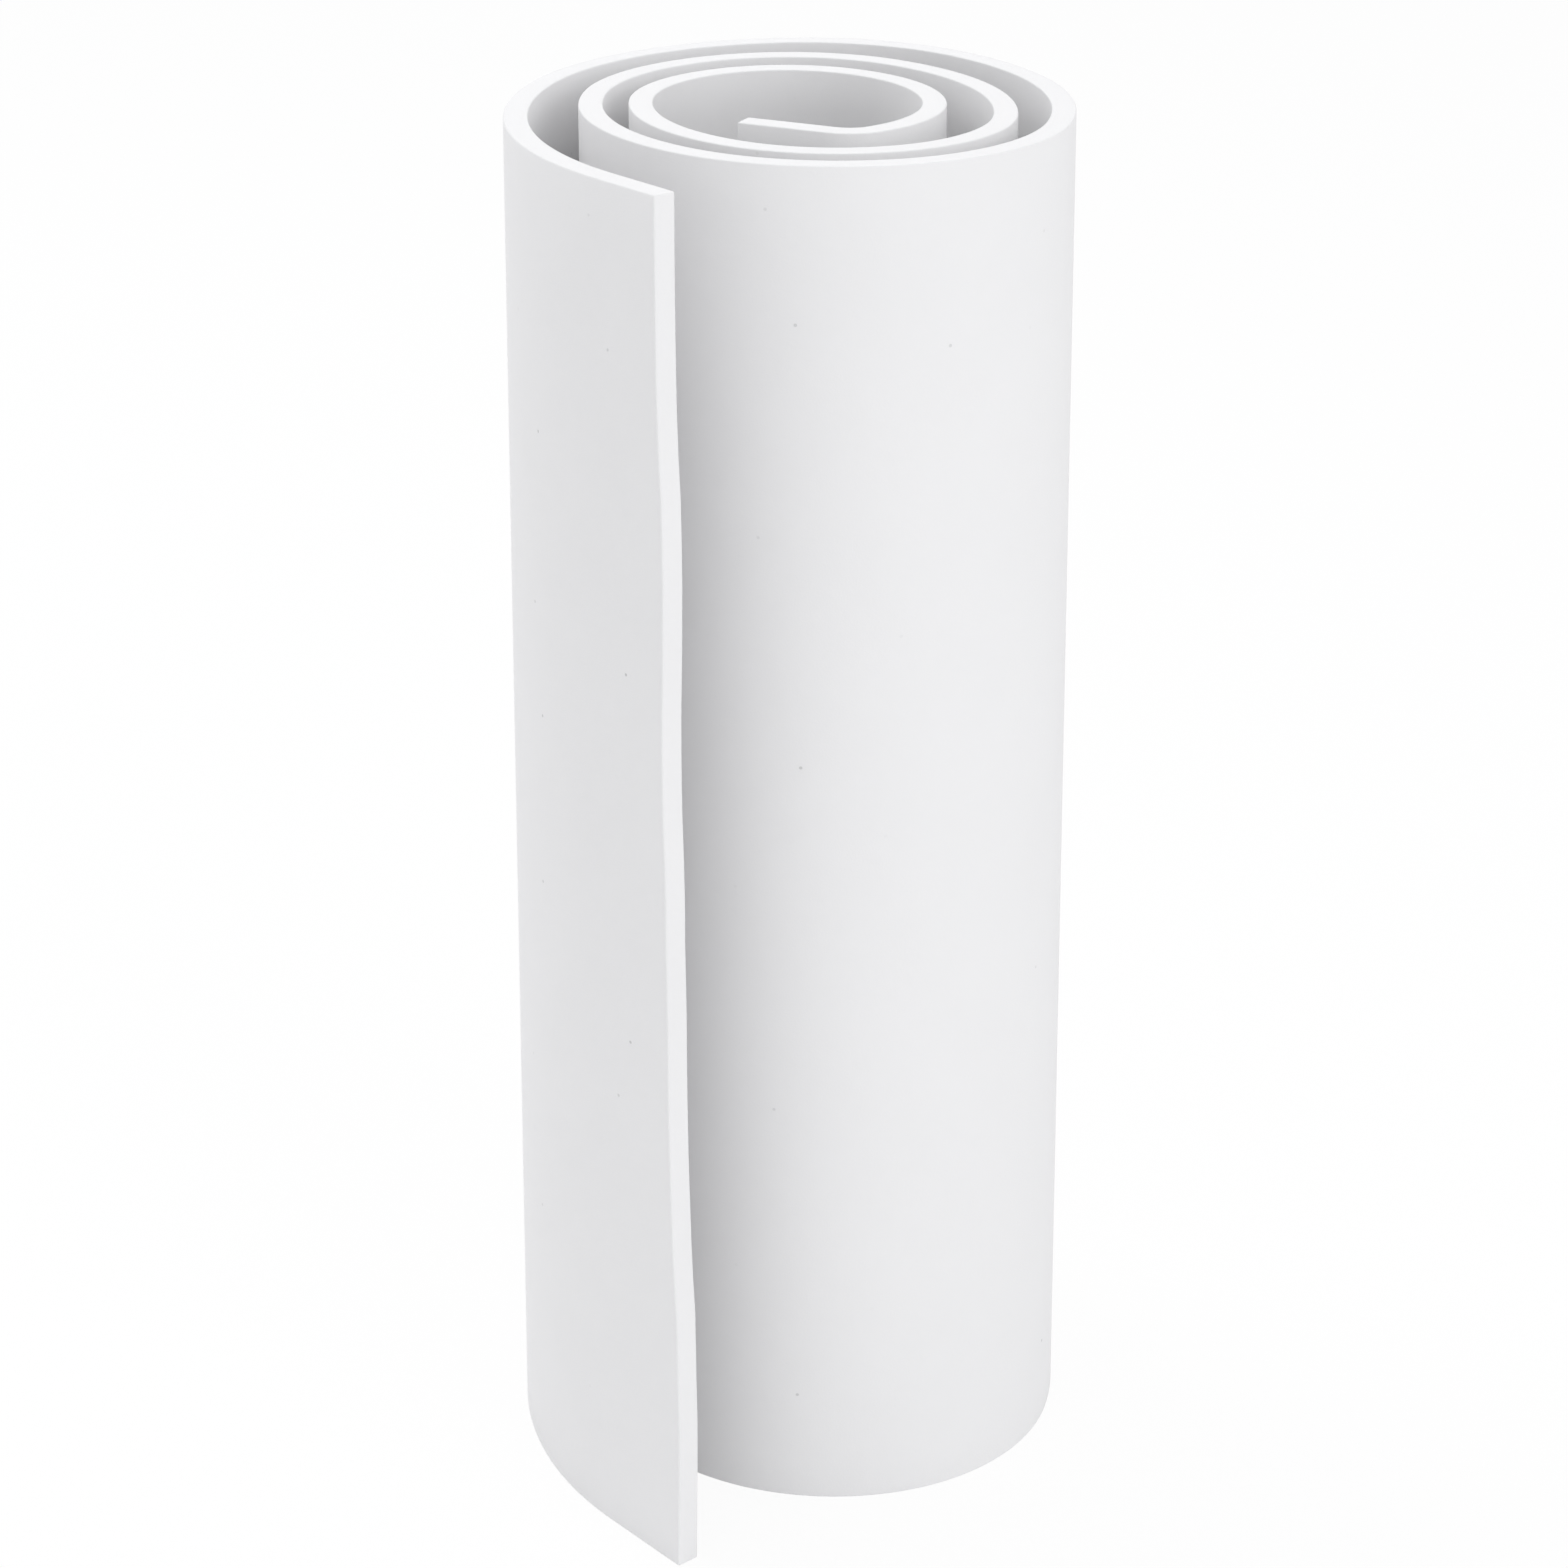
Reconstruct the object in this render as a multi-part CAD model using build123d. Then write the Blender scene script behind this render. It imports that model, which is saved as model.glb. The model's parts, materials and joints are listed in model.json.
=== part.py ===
from build123d import *
import math
import os

# A sheet of white closed-cell foam, rolled up by hand and standing on one long cut edge.
# It is wound anticlockwise as seen from above, from a straight tail in the middle, through
# just under three open turns, to a straight flap that stands away from the roll.
#
# The foam bends everywhere. It is cut here into short stretches that butt face to face, and
# each pair is joined by a living hinge on the outer face of the foam. Opening all of the
# hinges together unrolls the sheet, and no stretch runs into the next one as they open.

# Driving sizes, in millimetres and degrees
sheet_height = 350.0  # the sheet's cut width, and the height of the roll
sheet_thickness = 6.0
tail_length = 23.5  # the straight inner end
flap_length = 22.5  # the straight outer end
wound_angle = 1056.0  # how far the sheet turns between its two straight ends
tail_heading = -25.5  # the way the tail points, from +X towards +Y

# An evenly wound sheet would bend from the first radius to the second in equal steps.
inner_bend_radius = 24.0
outer_bend_radius = 80.0

# Winding by hand leaves each turn a little oval. These are the bends that it takes, from the
# tail outwards, each as the ratio of its radius to the even radius at its place.
inner_turn_ratios = [0.405, 1.2, 1.245, 0.965, 0.98, 1.3]
middle_turn_ratios = [0.975, 0.845, 1.305, 0.83, 0.895, 1.11]
outer_turn_ratios = [0.91, 0.815, 1.185, 0.775, 0.965, 1.28]
bend_ratios = inner_turn_ratios + middle_turn_ratios + outer_turn_ratios
bend_angle = wound_angle / len(bend_ratios)

# The sheet is cut into a tail, a flap and this many stretches of each turn between them.
turn_stretches = {"inner_turn": 8, "middle_turn": 10, "outer_turn": 10}
hinge_count = sum(turn_stretches.values()) + 1


def outward(heading):
    """The direction from the middle of the sheet to its outer face, for a sheet that runs along heading."""
    return Vector(math.sin(math.radians(heading)), -math.cos(math.radians(heading)))


def forward(heading):
    """The direction that the sheet runs in."""
    return Vector(math.cos(math.radians(heading)), math.sin(math.radians(heading)))


def even_radius(angle):
    """The radius that an evenly wound sheet would have at this angle round the roll."""
    return inner_bend_radius + (outer_bend_radius - inner_bend_radius) * angle / wound_angle


def bend_radius(bend):
    """The radius of the middle of the sheet over one bend."""
    return even_radius((bend + 0.5) * bend_angle) * bend_ratios[bend]


def hinge_angles():
    """How far round the roll each hinge lies.

    A stretch spans an angle that falls with the square root of the even radius. The stretches then
    all bow by about the same small amount, so the unrolled sheet is equally flat all along."""
    first = inner_bend_radius**1.5
    last = outer_bend_radius**1.5
    angles = []
    for hinge in range(hinge_count):
        share = (hinge + 0.5) / hinge_count
        radius = (first + (last - first) * share) ** (2 / 3)
        span = (radius - inner_bend_radius) / (outer_bend_radius - inner_bend_radius)
        angles.append(wound_angle * span)
    return angles


def straight_run(start, heading, length):
    """A straight piece of sheet: its outer edge and its inner edge."""
    half = outward(heading) * (sheet_thickness / 2)
    end = start + forward(heading) * length
    return Line(start + half, end + half), Line(start - half, end - half)


def curved_run(start, heading, radius, angle):
    """A piece of sheet bent to one radius: its outer edge and its inner edge."""
    centre = start - outward(heading) * radius
    outer = CenterArc(centre, radius + sheet_thickness / 2, heading - 90, angle)
    inner = CenterArc(centre, radius - sheet_thickness / 2, heading - 90, angle)
    return outer, inner


def wind():
    """The runs of sheet in each stretch, from the tail outwards."""
    hinges = hinge_angles()
    bend_ends = [bend_angle * count for count in range(1, len(bend_ratios) + 1)]
    place = Vector(0, 0)
    stretches = [[straight_run(place, tail_heading, tail_length)]]
    place += forward(tail_heading) * tail_length
    angle = 0.0
    for stop in sorted(hinges + bend_ends):
        radius = bend_radius(int((angle + stop) / 2 / bend_angle))
        stretches[-1].append(curved_run(place, tail_heading + angle, radius, stop - angle))
        place += (outward(tail_heading + stop) - outward(tail_heading + angle)) * radius
        angle = stop
        if stop in hinges:
            stretches.append([])
    stretches[-1].append(straight_run(place, tail_heading + wound_angle, flap_length))
    return stretches


def section(runs):
    """The outline of one stretch as a face: its outer edges, its inner edges and its two butt ends."""
    outer = [run[0] for run in runs]
    inner = [run[1] for run in runs]
    near_end = Line(outer[0] @ 0, inner[0] @ 0)
    far_end = Line(outer[-1] @ 1, inner[-1] @ 1)
    return make_face(outer + inner + [near_end, far_end])


def stretch_names():
    """A name for each stretch: the tail, the stretches of each turn in order, and the flap."""
    names = ["core_tail"]
    for turn, count in turn_stretches.items():
        names += [f"{turn}_{number:02d}" for number in range(1, count + 1)]
    return names + ["free_flap"]


stretches = wind()
sections = [section(runs) for runs in stretches]
names = stretch_names()

# The origin is under the middle of the whole roll, on the floor that it stands on.
footprint = Compound(sections).bounding_box()
to_origin = Location((-footprint.center().X, -footprint.center().Y, 0))

# Each hinge lies where two stretches meet on the outer face, and runs the height of the sheet.
hinge_points = [to_origin * Pos(runs[-1][0] @ 1) for runs in stretches[:-1]]

parts = {}
for name, outline in zip(names, sections):
    parts[name] = to_origin * extrude(outline, amount=sheet_height)

os.makedirs("parts", exist_ok=True)
for name, solid in parts.items():
    solid.label = name
    export_step(solid, f"parts/{name}.step")
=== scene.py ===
import json
import math

import bpy
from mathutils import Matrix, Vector

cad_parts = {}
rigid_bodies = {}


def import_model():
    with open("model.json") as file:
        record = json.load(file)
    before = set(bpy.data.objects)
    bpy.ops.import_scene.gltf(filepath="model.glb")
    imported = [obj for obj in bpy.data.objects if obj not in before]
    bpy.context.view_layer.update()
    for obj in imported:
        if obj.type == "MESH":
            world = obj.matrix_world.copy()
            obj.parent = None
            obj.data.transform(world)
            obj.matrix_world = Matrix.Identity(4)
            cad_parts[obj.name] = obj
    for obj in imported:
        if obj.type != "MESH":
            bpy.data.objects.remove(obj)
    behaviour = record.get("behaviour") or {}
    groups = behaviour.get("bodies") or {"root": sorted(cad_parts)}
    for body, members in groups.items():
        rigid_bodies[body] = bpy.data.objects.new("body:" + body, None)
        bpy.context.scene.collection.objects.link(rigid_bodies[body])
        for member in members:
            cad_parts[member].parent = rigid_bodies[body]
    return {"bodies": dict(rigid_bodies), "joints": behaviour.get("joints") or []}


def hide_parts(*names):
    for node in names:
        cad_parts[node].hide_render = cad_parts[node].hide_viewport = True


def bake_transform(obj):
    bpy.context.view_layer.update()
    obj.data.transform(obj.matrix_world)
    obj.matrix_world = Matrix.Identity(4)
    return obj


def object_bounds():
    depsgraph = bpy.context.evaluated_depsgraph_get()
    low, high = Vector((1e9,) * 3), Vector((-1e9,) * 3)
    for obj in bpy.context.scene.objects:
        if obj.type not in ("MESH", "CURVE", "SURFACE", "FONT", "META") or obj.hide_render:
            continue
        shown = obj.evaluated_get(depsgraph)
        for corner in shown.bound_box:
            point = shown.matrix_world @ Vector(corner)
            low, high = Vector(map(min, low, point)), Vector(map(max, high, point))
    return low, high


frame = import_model()
cad_low, cad_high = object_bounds()


# ---- Foam sheet ----
# One uncut slab of white closed-cell foam, matt on both faces and cut clean on all four edges. It is
# wound anticlockwise by hand, from a straight tail through just under three open turns to a straight
# flap. Nothing holds it, and it stands on one long cut edge.

sheet_thickness = 0.006
sheet_height = cad_high.z - cad_low.z
tail_length = 0.0235
flap_length = 0.0225
wound_angle = math.radians(1056.0)
tail_heading = math.radians(-25.5)
inner_bend_radius = 0.024
outer_bend_radius = 0.080

# each bend is a little tighter or looser than even winding would be, from the tail outwards
bend_ratios = [0.405, 1.2, 1.245, 0.965, 0.98, 1.3]
bend_ratios += [0.975, 0.845, 1.305, 0.83, 0.895, 1.11]
bend_ratios += [0.91, 0.815, 1.185, 0.775, 0.965, 1.28]
bend_angle = wound_angle / len(bend_ratios)


def forward(heading):
    """The direction that the sheet runs in."""
    return Vector((math.cos(heading), math.sin(heading), 0))


def outward(heading):
    """The direction from the middle of the sheet to its outer face."""
    return Vector((math.sin(heading), -math.cos(heading), 0))


def bend_radius(bend):
    """The radius of the middle of the sheet over one bend."""
    even = inner_bend_radius + (outer_bend_radius - inner_bend_radius) * (bend + 0.5) / len(bend_ratios)
    return even * bend_ratios[bend]


def sheet_at(angle):
    """How far along the sheet, and where from the tail's end, the sheet has turned through an angle."""
    length = tail_length
    place = forward(tail_heading) * tail_length
    for bend in range(len(bend_ratios)):
        done = bend * bend_angle
        turn = min(angle - done, bend_angle)
        if turn <= 0:
            break
        step = outward(tail_heading + done + turn) - outward(tail_heading + done)
        place = place + step * bend_radius(bend)
        length += bend_radius(bend) * turn
    return length, place


def living_hinges():
    """The frame's hinges from the tail outwards: the two bodies that each joins, and its place."""
    neighbours = {}
    for joint in frame["joints"]:
        for body, other in ((joint["parent"], joint["child"]), (joint["child"], joint["parent"])):
            neighbours.setdefault(body, {})[other] = Vector(joint["pos_m"])
    chain = ["core_tail"]
    places = []
    while len(chain) < len(frame["bodies"]):
        following = [body for body in neighbours[chain[-1]] if body not in chain[-2:]][0]
        places.append(neighbours[chain[-1]][following])
        chain.append(following)
    return list(zip(chain, chain[1:], places))


def hinge_turns(hinge_count):
    """How far round the roll each hinge lies, by the even winding that the stretches are cut from."""
    first = inner_bend_radius**1.5
    last = outer_bend_radius**1.5
    angles = []
    for hinge in range(hinge_count):
        radius = (first + (last - first) * (hinge + 0.5) / hinge_count) ** (2 / 3)
        angles.append(wound_angle * (radius - inner_bend_radius) / (outer_bend_radius - inner_bend_radius))
    return angles


hinges = living_hinges()
turns = hinge_turns(len(hinges))
first_hinge_face = sheet_at(turns[0])[1] + outward(tail_heading + turns[0]) * sheet_thickness / 2
tail_end = hinges[0][2] - first_hinge_face
sheet_length = sheet_at(wound_angle)[0] + flap_length

# the line that the sheet is wound along runs on past the flap, so that the flap's end can lean out
line_overrun = 0.012
line_steps = 48


def winding_knots():
    """The line's two ends and two knots a bend: place, heading, and how far both handles reach."""
    last = 2 * len(bend_ratios)
    arc_handle = 4 / 3 * math.tan(bend_angle / 8)
    tail_handle = tail_length / 3
    flap_handle = (flap_length + line_overrun) / 3
    knots = [(Vector((0, 0, 0)), tail_heading, 0.0, tail_handle)]
    for half in range(last + 1):
        angle = half * bend_angle / 2
        before = tail_handle if half == 0 else arc_handle * bend_radius((half - 1) // 2)
        after = flap_handle if half == last else arc_handle * bend_radius(half // 2)
        knots.append((sheet_at(angle)[1], tail_heading + angle, before, after))
    place, heading = knots[-1][:2]
    end = place + forward(heading) * (flap_length + line_overrun)
    return knots + [(end, heading, flap_handle, 0.0)]


def winding_line():
    """The line along the middle of the wound sheet, as a Bezier curve on the floor."""
    knots = winding_knots()
    curve = bpy.data.curves.new("winding_line", "CURVE")
    curve.dimensions = "3D"
    curve.resolution_u = line_steps
    curve.splines.new("BEZIER").bezier_points.add(len(knots) - 1)
    for point, (place, heading, before, after) in zip(curve.splines[0].bezier_points, knots):
        point.handle_left_type = point.handle_right_type = "FREE"
        point.co = tail_end + place
        point.handle_left = point.co - forward(heading) * before
        point.handle_right = point.co + forward(heading) * after
    line = bpy.data.objects.new("winding_line", curve)
    bpy.context.scene.collection.objects.link(line)
    return line


def tree_tools(tree):
    """Short ways to add to a node tree: a node with its inputs and settings, and a step of arithmetic."""

    def node(kind, inputs=None, **settings):
        made = tree.nodes.new(kind)
        for name, value in settings.items():
            setattr(made, name, value)
        for name, value in (inputs or {}).items():
            if isinstance(value, bpy.types.NodeSocket):
                tree.links.new(value, made.inputs[name])
            else:
                made.inputs[name].default_value = value
        return made

    def calculate(operation, *values, clamp=False):
        made = node("ShaderNodeMath", dict(enumerate(values)), operation=operation, use_clamp=clamp)
        return made.outputs[0]

    return node, calculate


# the foam's look: scales are in cells, waves or pinholes to the metre, a pinhole's radii are shares of
# the way from one to the next, and reliefs are shares of the grain's depth
foam_white = (0.872, 0.8695, 0.8755, 1)
cell_scale = 2100
skin_scale = 320
shade_scale = 45
shade_depth = 0.025
pinhole_scale = 27
pinhole_core = 0.007
pinhole_rim = 0.014
# how much painted shade darkens the middle of a pinhole
pinhole_painted_shade = 0.35
skin_roughness = 0.58
uneven_roughness = 0.16
cut_roughness = 0.15
grain_depth = 0.00006
cell_relief = 0.7
cut_relief = 1.6
skin_relief = 0.8
pinhole_relief = 4


def white_foam():
    """Fine, even cells under a matt skin, more open on the cut edges, with a burst cell now and then, its
    pit darkened by painted shade.
    """
    foam = bpy.data.materials.new("white_foam")
    foam.use_nodes = True
    node, calculate = tree_tools(foam.node_tree)
    place = node("ShaderNodeAttribute", attribute_name="sheet_place").outputs["Vector"]
    cut = node("ShaderNodeAttribute", attribute_name="cut_edge").outputs["Fac"]

    # cells of about half a millimetre, and a slower unevenness of the skin and of its shade
    cells = {"Vector": place, "Scale": cell_scale, "Smoothness": 0.6}
    cells = node("ShaderNodeTexVoronoi", cells, feature="SMOOTH_F1").outputs["Distance"]
    skin = {"Vector": place, "Scale": skin_scale, "Detail": 3}
    skin = node("ShaderNodeTexNoise", skin).outputs["Fac"]
    shade = {"Vector": place, "Scale": shade_scale, "Detail": 4}
    shade = node("ShaderNodeTexNoise", shade).outputs["Fac"]

    # pinholes, about one in each 4 cm square, most of them faint and none on the cut edges, each darkened
    # by painted shade in its pit. The inner
    #  face has its own, a long way along the pattern from those of the outer face
    split = node("ShaderNodeSeparateXYZ", {0: place}).outputs
    face_shift = calculate("MULTIPLY", calculate("SIGN", split["Y"]), 0.37)
    spread = {"X": calculate("ADD", split["X"], face_shift), "Y": split["Z"]}
    spread = node("ShaderNodeCombineXYZ", spread).outputs[0]
    spots = {"Vector": spread, "Scale": pinhole_scale}
    spots = node("ShaderNodeTexVoronoi", spots, voronoi_dimensions="2D").outputs
    spot = {"Value": spots["Distance"], "From Min": pinhole_core, "From Max": pinhole_rim}
    spot.update({"To Min": 1, "To Max": 0})
    spot = node("ShaderNodeMapRange", spot, interpolation_type="SMOOTHSTEP").outputs[0]
    chance = node("ShaderNodeSeparateColor", {0: spots["Color"]}).outputs[0]
    pinhole = calculate("MULTIPLY", spot, calculate("POWER", chance, 3.0))
    pinhole = calculate("MULTIPLY", pinhole, calculate("SUBTRACT", 1.0, cut))

    # the colour is darkened by a slow random unevenness of tone, and by painted shade in the pinholes
    tint = node("ShaderNodeMapRange", {"Value": shade, "To Min": 1 - shade_depth, "To Max": 1.0})
    light = calculate("MULTIPLY_ADD", pinhole, -pinhole_painted_shade, 1.0)
    light = calculate("MULTIPLY", tint.outputs[0], light)
    tone_and_pinhole_shade = node("ShaderNodeCombineColor", {"Red": light, "Green": light, "Blue": light}).outputs[0]
    colour = {"Factor": 1, "A": foam_white, "B": tone_and_pinhole_shade}
    colour = node("ShaderNodeMix", colour, data_type="RGBA", blend_type="MULTIPLY").outputs["Result"]
    rough = calculate("MULTIPLY_ADD", skin, uneven_roughness, skin_roughness)
    rough = calculate("MULTIPLY_ADD", cut, cut_roughness, rough)

    # the cells stand out more on the cut edges, and a pinhole is deeper than a cell
    height = calculate("MULTIPLY", cells, calculate("MULTIPLY_ADD", cut, cut_relief, cell_relief))
    height = calculate("ADD", height, calculate("MULTIPLY", skin, skin_relief))
    height = calculate("SUBTRACT", height, calculate("MULTIPLY", pinhole, pinhole_relief))
    grain = node("ShaderNodeBump", {"Strength": 0.35, "Distance": grain_depth, "Height": height})

    shader = foam.node_tree.nodes["Principled BSDF"]
    shader.inputs["Specular IOR Level"].default_value = 0.3
    foam.node_tree.links.new(colour, shader.inputs["Base Color"])
    foam.node_tree.links.new(rough, shader.inputs["Roughness"])
    foam.node_tree.links.new(grain.outputs[0], shader.inputs["Normal"])
    return foam


# the edges are rounded by this radius in this many steps
edge_softness = 0.0004
corner_steps = 3

# from the top edge to the floor the roll widens by this share, and the flap's end leans out this far
flare = 0.0436
lean_at_floor = 0.0043

# how far the flap's end is cut past a straight line, in millimetres, from the floor (0) to the top
# edge (1), and the width in metres that this stays within
end_wander = [(0, 0.3), (0.08, 1.1), (0.115, 1.4), (0.15, 1.2), (0.19, 1.2), (0.23, 0.5), (0.28, -0.15)]
end_wander += [(0.37, -0.6), (0.44, -0.4), (0.48, -0.55), (0.52, -0.4), (0.59, -0.9), (0.63, -0.8)]
end_wander += [(0.7, 0.05), (0.775, 0.45), (0.82, -0.15), (0.87, -0.65), (0.93, -0.65), (1, -0.35)]
wander_width = 0.004


def shape_wander(mapping):
    """Sets a float curve to the cut of the flap's end, with the straight line half-way up it."""
    levels = [(height, 0.5 + shift / (wander_width * 1000)) for height, shift in end_wander]
    points = mapping.curves[0].points
    for height, level in levels[1:-1]:
        points.new(height, level)
    points[0].location = levels[0]
    points[-1].location = levels[-1]
    mapping.update()


def foam_slab():
    """Geometry Nodes that sweep a soft-edged slab along the winding line, from one length to another."""
    tree = bpy.data.node_groups.new("foam_slab", "GeometryNodeTree")
    kinds = {"Winding Line": "Object", "Foam": "Material", "Steps": "Int", "Upright Steps": "Int"}
    names = ["Winding Line", "From", "To", "Sheet Length", "Flap Length", "Thickness", "Height"]
    names += ["Edge Softness", "Flare", "Lean", "End Wander", "Steps", "Upright Steps", "Foam"]
    for name in names:
        kind = "NodeSocket" + kinds.get(name, "Float")
        tree.interface.new_socket(name, in_out="INPUT", socket_type=kind)
    tree.interface.new_socket("Geometry", in_out="OUTPUT", socket_type="NodeSocketGeometry")
    node, calculate = tree_tools(tree)
    given = node("NodeGroupInput").outputs

    def vector(operation, *values):
        made = node("ShaderNodeVectorMath", dict(enumerate(values)), operation=operation)
        return made.outputs["Vector"]

    def store(geometry, name, value, data_type):
        stored = {"Geometry": geometry, "Name": name, "Value": value}
        made = node("GeometryNodeStoreNamedAttribute", stored, data_type=data_type, domain="POINT")
        return made.outputs[0]

    # a straight path whose steps crowd together at both ends, to round the cut ends
    soft = given["Edge Softness"]
    number = node("GeometryNodeInputIndex").outputs[0]
    whole = calculate("SUBTRACT", given["To"], given["From"])
    whole = calculate("SUBTRACT", whole, calculate("MULTIPLY", soft, 2))
    long_steps = calculate("SUBTRACT", given["Steps"], 2 * corner_steps)
    share = calculate("DIVIDE", calculate("SUBTRACT", number, corner_steps), long_steps, clamp=True)
    along = calculate("ADD", given["From"], soft)
    along = calculate("ADD", along, calculate("MULTIPLY", share, whole))
    for sign, count in ((-1, number), (1, calculate("SUBTRACT", given["Steps"], number))):
        turn = calculate("MINIMUM", count, corner_steps)
        turn = calculate("MULTIPLY", turn, math.radians(90 / corner_steps))
        near = calculate("MULTIPLY", calculate("COSINE", turn), soft)
        along = calculate("ADD", along, calculate("MULTIPLY", near, sign))
    path = node("GeometryNodeCurvePrimitiveLine", {"End": (1, 0, 0)}).outputs[0]
    path = {"Curve": path, "Count": calculate("ADD", given["Steps"], 1)}
    path = node("GeometryNodeResampleCurve", path).outputs[0]
    along = node("ShaderNodeCombineXYZ", {"X": along}).outputs[0]
    path = node("GeometryNodeSetPosition", {"Geometry": path, "Position": along}).outputs[0]

    # the slab's section, with rounded corners, and steps up both walls, one after every second corner
    section = {"Width": given["Thickness"], "Height": given["Height"]}
    section = node("GeometryNodeCurvePrimitiveQuadrilateral", section).outputs[0]
    section = {"Curve": section, "Radius": soft, "Count": corner_steps}
    section = node("GeometryNodeFilletCurve", section, mode="POLY").outputs[0]
    corner_points = corner_steps + 1
    corner = calculate("MODULO", number, 2 * corner_points)
    wall = {"A": corner, "B": 2.0 * corner_points - 1, "Epsilon": 0.1}
    wall = node("FunctionNodeCompare", wall, operation="EQUAL").outputs[0]
    section = {"Curve": section, "Cuts": calculate("MULTIPLY", wall, given["Upright Steps"])}
    section = node("GeometryNodeSubdivideCurve", section).outputs[0]
    slab = {"Curve": path, "Profile Curve": section, "Fill Caps": True}
    slab = node("GeometryNodeCurveToMesh", slab).outputs[0]
    normal = {"Vector": node("GeometryNodeInputNormal").outputs[0]}
    normal = node("ShaderNodeSeparateXYZ", normal).outputs
    end_face = calculate("GREATER_THAN", calculate("ABSOLUTE", normal["X"]), 0.9)
    slab = {"Mesh": slab, "Selection": end_face}
    slab = node("GeometryNodeTriangulate", slab, ngon_method="BEAUTY").outputs[0]

    # where each point is in the flat sheet: along it, through it and up it
    place = node("GeometryNodeInputPosition").outputs[0]
    split = node("ShaderNodeSeparateXYZ", {"Vector": place}).outputs
    cut = calculate("MAXIMUM", end_face, calculate("ABSOLUTE", normal["Z"]))
    slab = store(slab, "sheet_place", place, "FLOAT_VECTOR")
    slab = store(slab, "cut_edge", cut, "FLOAT")

    # the two real ends of the sheet have soft edges too, and a seam has flat faces
    ends = calculate("SUBTRACT", given["Sheet Length"], split["X"])
    ends = calculate("MINIMUM", split["X"], ends)
    seam = calculate("MULTIPLY", end_face, calculate("GREATER_THAN", ends, soft))
    smooth = {"Geometry": slab, "Shade Smooth": calculate("SUBTRACT", 1, seam)}
    slab = node("GeometryNodeSetShadeSmooth", smooth, domain="FACE").outputs[0]
    short = calculate("MINIMUM", calculate("MAXIMUM", ends, 0.0), soft)
    short = calculate("SUBTRACT", soft, short)
    round_off = calculate("MULTIPLY", soft, soft)
    round_off = calculate("SUBTRACT", round_off, calculate("MULTIPLY", short, short))
    inset = calculate("SUBTRACT", soft, calculate("SQRT", round_off))
    inset = calculate("MULTIPLY", inset, 2)
    through = calculate("SUBTRACT", 1, calculate("DIVIDE", inset, given["Thickness"]))
    through = calculate("MULTIPLY", split["Y"], through)
    up = calculate("SUBTRACT", 1, calculate("DIVIDE", inset, given["Height"]))
    up = calculate("MULTIPLY", split["Z"], up)
    up = calculate("ADD", up, calculate("DIVIDE", given["Height"], 2))

    # towards the floor the flap reaches out a little further, and its end was cut by eye
    level = calculate("DIVIDE", up, given["Height"])
    lean = calculate("MULTIPLY", given["Lean"], calculate("SUBTRACT", 1, level))
    wander = node("ShaderNodeFloatCurve", {"Value": level})
    shape_wander(wander.mapping)
    wander = calculate("SUBTRACT", wander.outputs[0], 0.5)
    lean = calculate("ADD", lean, calculate("MULTIPLY", wander, given["End Wander"]))
    on_flap = calculate("SUBTRACT", given["Sheet Length"], given["Flap Length"])
    on_flap = calculate("MAXIMUM", calculate("SUBTRACT", split["X"], on_flap), 0.0)
    on_flap = calculate("DIVIDE", on_flap, given["Flap Length"])
    length = calculate("ADD", split["X"], calculate("MULTIPLY", lean, on_flap))

    # the slab follows the winding line, and the roll is a little wider at the floor than at the top
    line = node("GeometryNodeObjectInfo", {"Object": given["Winding Line"]}).outputs["Geometry"]
    follow = node("GeometryNodeSampleCurve", {"Curves": line, "Length": length}, mode="LENGTH").outputs
    out = vector("CROSS_PRODUCT", follow["Tangent"], (0, 0, 1))
    shift = {0: out, "Scale": calculate("MULTIPLY", through, -1)}
    shift = node("ShaderNodeVectorMath", shift, operation="SCALE").outputs[0]
    position = vector("ADD", follow["Position"], shift)
    wider = calculate("SUBTRACT", 0.5, level)
    wider = calculate("MULTIPLY_ADD", given["Flare"], wider, 1.0)
    wider = node("ShaderNodeCombineXYZ", {"X": wider, "Y": wider}).outputs[0]
    position = vector("MULTIPLY", position, wider)
    position = vector("ADD", position, node("ShaderNodeCombineXYZ", {"Z": up}).outputs[0])
    slab = node("GeometryNodeSetPosition", {"Geometry": slab, "Position": position}).outputs[0]
    slab = node("GeometryNodeRealizeInstances", {"Geometry": slab}).outputs[0]
    slab = node("GeometryNodeSetMaterial", {"Geometry": slab, "Material": given["Foam"]}).outputs[0]
    node("NodeGroupOutput", {"Geometry": slab})
    return tree


line = winding_line()
slab_tree = foam_slab()
sizes = {"Winding Line": line, "Sheet Length": sheet_length, "Flap Length": flap_length}
sizes.update({"Thickness": sheet_thickness, "Height": sheet_height, "Edge Softness": edge_softness})
sizes.update({"Flare": flare, "Lean": lean_at_floor, "End Wander": wander_width})
sizes.update({"Steps": 36, "Upright Steps": 34, "Foam": white_foam()})


def foam_length(name, start, stop):
    """One length of the slab, as a plain mesh."""
    maker = bpy.data.objects.new("slab_maker", bpy.data.meshes.new("slab_maker"))
    bpy.context.scene.collection.objects.link(maker)
    slab = maker.modifiers.new("foam_slab", "NODES")
    slab.node_group = slab_tree
    values = {**sizes, "From": start, "To": stop}
    for socket in slab_tree.interface.items_tree:
        if socket.in_out == "INPUT":
            slab[socket.identifier] = values[socket.name]
    made = maker.evaluated_get(bpy.context.evaluated_depsgraph_get())
    sheet = bpy.data.objects.new(name, bpy.data.meshes.new_from_object(made))
    bpy.context.scene.collection.objects.link(sheet)
    bpy.data.objects.remove(maker)
    return sheet


def past_turn(turn, distance):
    """The point this far straight on from where the sheet has turned through an angle."""
    return tail_end + sheet_at(turn)[1] + forward(tail_heading + turn) * distance
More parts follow.
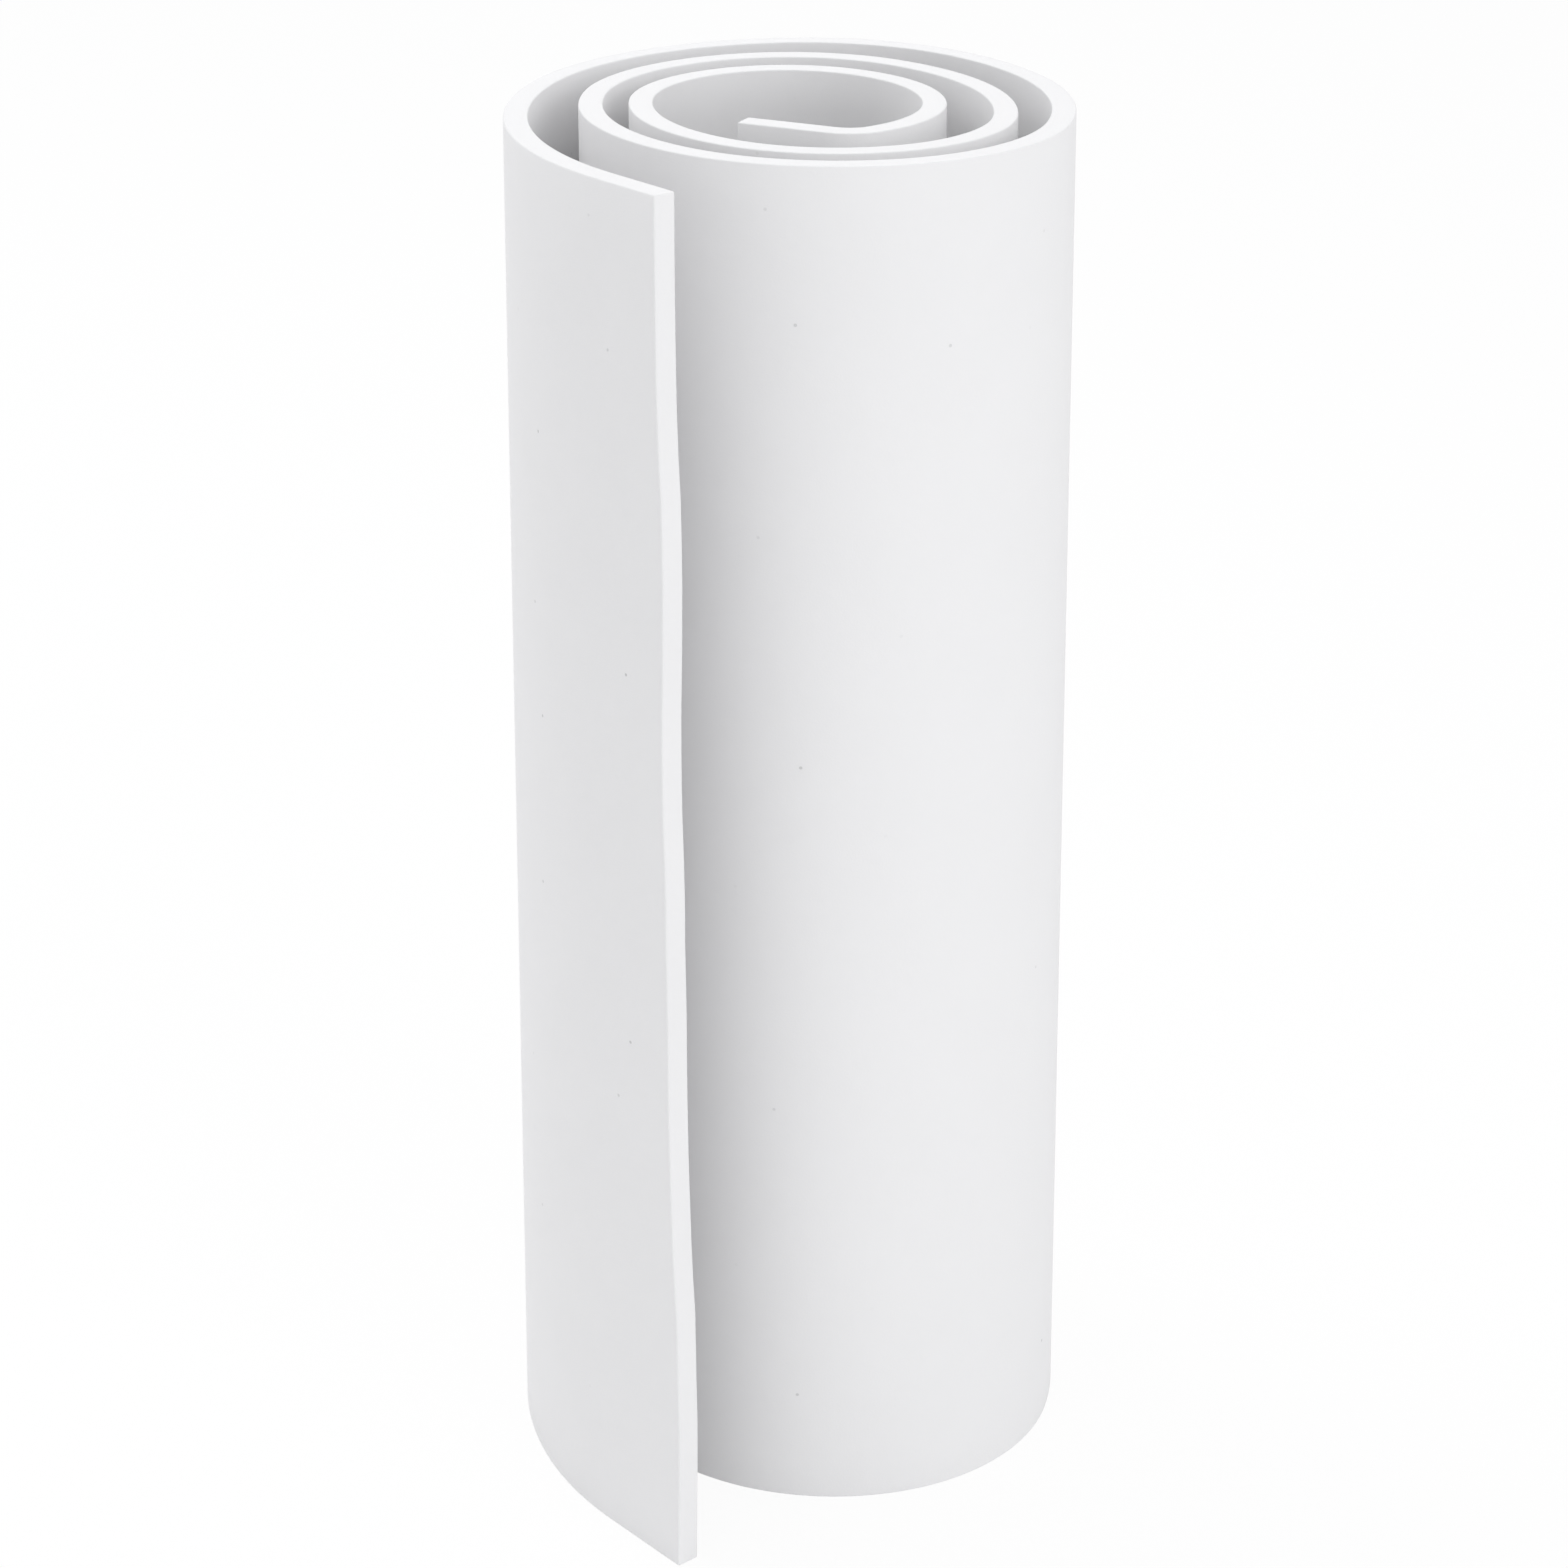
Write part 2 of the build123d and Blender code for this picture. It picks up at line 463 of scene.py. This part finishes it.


# the lengths meet half-way along the rigid stretches, inside the foam, and each one hides the bodies that
# it stands for.
#  Where each length's bend would start and end is worked out too, but not used. The first bend is the
#  tightest, so its start lies a little way back on the straight tail
seam_margin = 0.003
stops = [sheet_at((before + after) / 2)[0] for before, after in zip(turns, turns[1:])]
stops = [0.0] + stops + [sheet_length]
for count, (inner_body, outer_body, _) in enumerate(hinges):
    sheet = foam_length(f"foam_sheet_{count + 1:02d}", stops[count], stops[count + 1])
    bend_start = past_turn(0.0, -sheet_thickness)
    bend_end = past_turn(wound_angle, -seam_margin)
    stands_for = [inner_body, outer_body]
    if count > 0:
        bend_start = past_turn((turns[count] + turns[count - 1]) / 2, seam_margin)
    if count + 1 < len(hinges):
        bend_end = past_turn((turns[count] + turns[count + 1]) / 2, -seam_margin)
        stands_for = [inner_body]
    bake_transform(sheet)
    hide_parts(*stands_for)
bpy.data.objects.remove(line)


# ---- Floor, light and camera ----
# A plain white floor in a white room, and three broad soft lights: overhead, in front on the right,
# and behind on the left. The camera stands in front and looks down at the roll.

floor_reach = 6
floor_white = (0.94, 0.94, 0.94, 1)
room_light = (0.679, 0.682, 0.69, 1)

# where they are seen themselves, the room is white and this much of the floor's colour is too
room_white = (0.99, 0.99, 0.99, 1)
seen_white = 0.92


def plain_sight(tree):
    """1 where the camera, a reflection or glass sees the surface, and 0 for the light that it sends."""
    node, calculate = tree_tools(tree)
    path = node("ShaderNodeLightPath").outputs
    seen = calculate("MAXIMUM", path["Is Camera Ray"], path["Is Glossy Ray"])
    return calculate("MAXIMUM", seen, path["Is Transmission Ray"])


def white_paint():
    """A matt white that is seen nearly at full white, and keeps a faint shadow."""
    paint = bpy.data.materials.new("floor_white")
    paint.use_nodes = True
    node, calculate = tree_tools(paint.node_tree)
    matt = paint.node_tree.nodes["Principled BSDF"]
    matt.inputs["Base Color"].default_value = floor_white
    matt.inputs["Roughness"].default_value = 0.8
    share = calculate("MULTIPLY", plain_sight(paint.node_tree), seen_white)
    white = node("ShaderNodeEmission").outputs[0]
    surface = node("ShaderNodeMixShader", {0: share, 1: matt.outputs[0], 2: white}).outputs[0]
    output = paint.node_tree.nodes["Material Output"]
    paint.node_tree.links.new(surface, output.inputs["Surface"])
    return paint


floor_mesh = bpy.data.meshes.new("floor")
corners = ((-1, -1), (1, -1), (1, 1), (-1, 1))
floor_mesh.from_pydata([(x * floor_reach, y * floor_reach, 0) for x, y in corners], [], [(0, 1, 2, 3)])
floor_mesh.materials.append(white_paint())
floor = bpy.data.objects.new("floor", floor_mesh)
bpy.context.scene.collection.objects.link(floor)

room = bpy.data.worlds.new("white_room")
room.use_nodes = True
node, calculate = tree_tools(room.node_tree)
tone = {"Factor": plain_sight(room.node_tree), "A": room_light, "B": room_white}
tone = node("ShaderNodeMix", tone, data_type="RGBA").outputs["Result"]
room.node_tree.links.new(tone, room.node_tree.nodes["Background"].inputs["Color"])
bpy.context.scene.world = room


def soft_light(name, place, aim, size, power):
    """A broad square lamp that faces its aim."""
    lamp = bpy.data.lights.new(name, "AREA")
    lamp.shape = "SQUARE"
    lamp.size = size
    lamp.energy = power
    light = bpy.data.objects.new(name, lamp)
    light.location = place
    light.rotation_euler = (Vector(aim) - Vector(place)).to_track_quat("-Z", "Y").to_euler()
    bpy.context.scene.collection.objects.link(light)


middle = (cad_low + cad_high) / 2
soft_light("overhead", (0, -0.1, 2.0), middle, size=1.4, power=6.3)
soft_light("front_right", (1.3, -1.5, 0.9), middle, size=1.2, power=9.0)
soft_light("behind_left", (-1.2, 0.9, 1.8), middle, size=1.2, power=11.5)

camera_dip = 22.81
camera = bpy.data.objects.new("camera", bpy.data.cameras.new("camera"))
camera.data.sensor_width = 36
camera.data.lens = 89.5
camera.location = (-0.0016, -0.9174, 0.5618)
camera.rotation_euler = (math.radians(90 - camera_dip), 0, 0)
bpy.context.scene.collection.objects.link(camera)
bpy.context.scene.camera = camera
bpy.context.scene.view_settings.view_transform = "Standard"
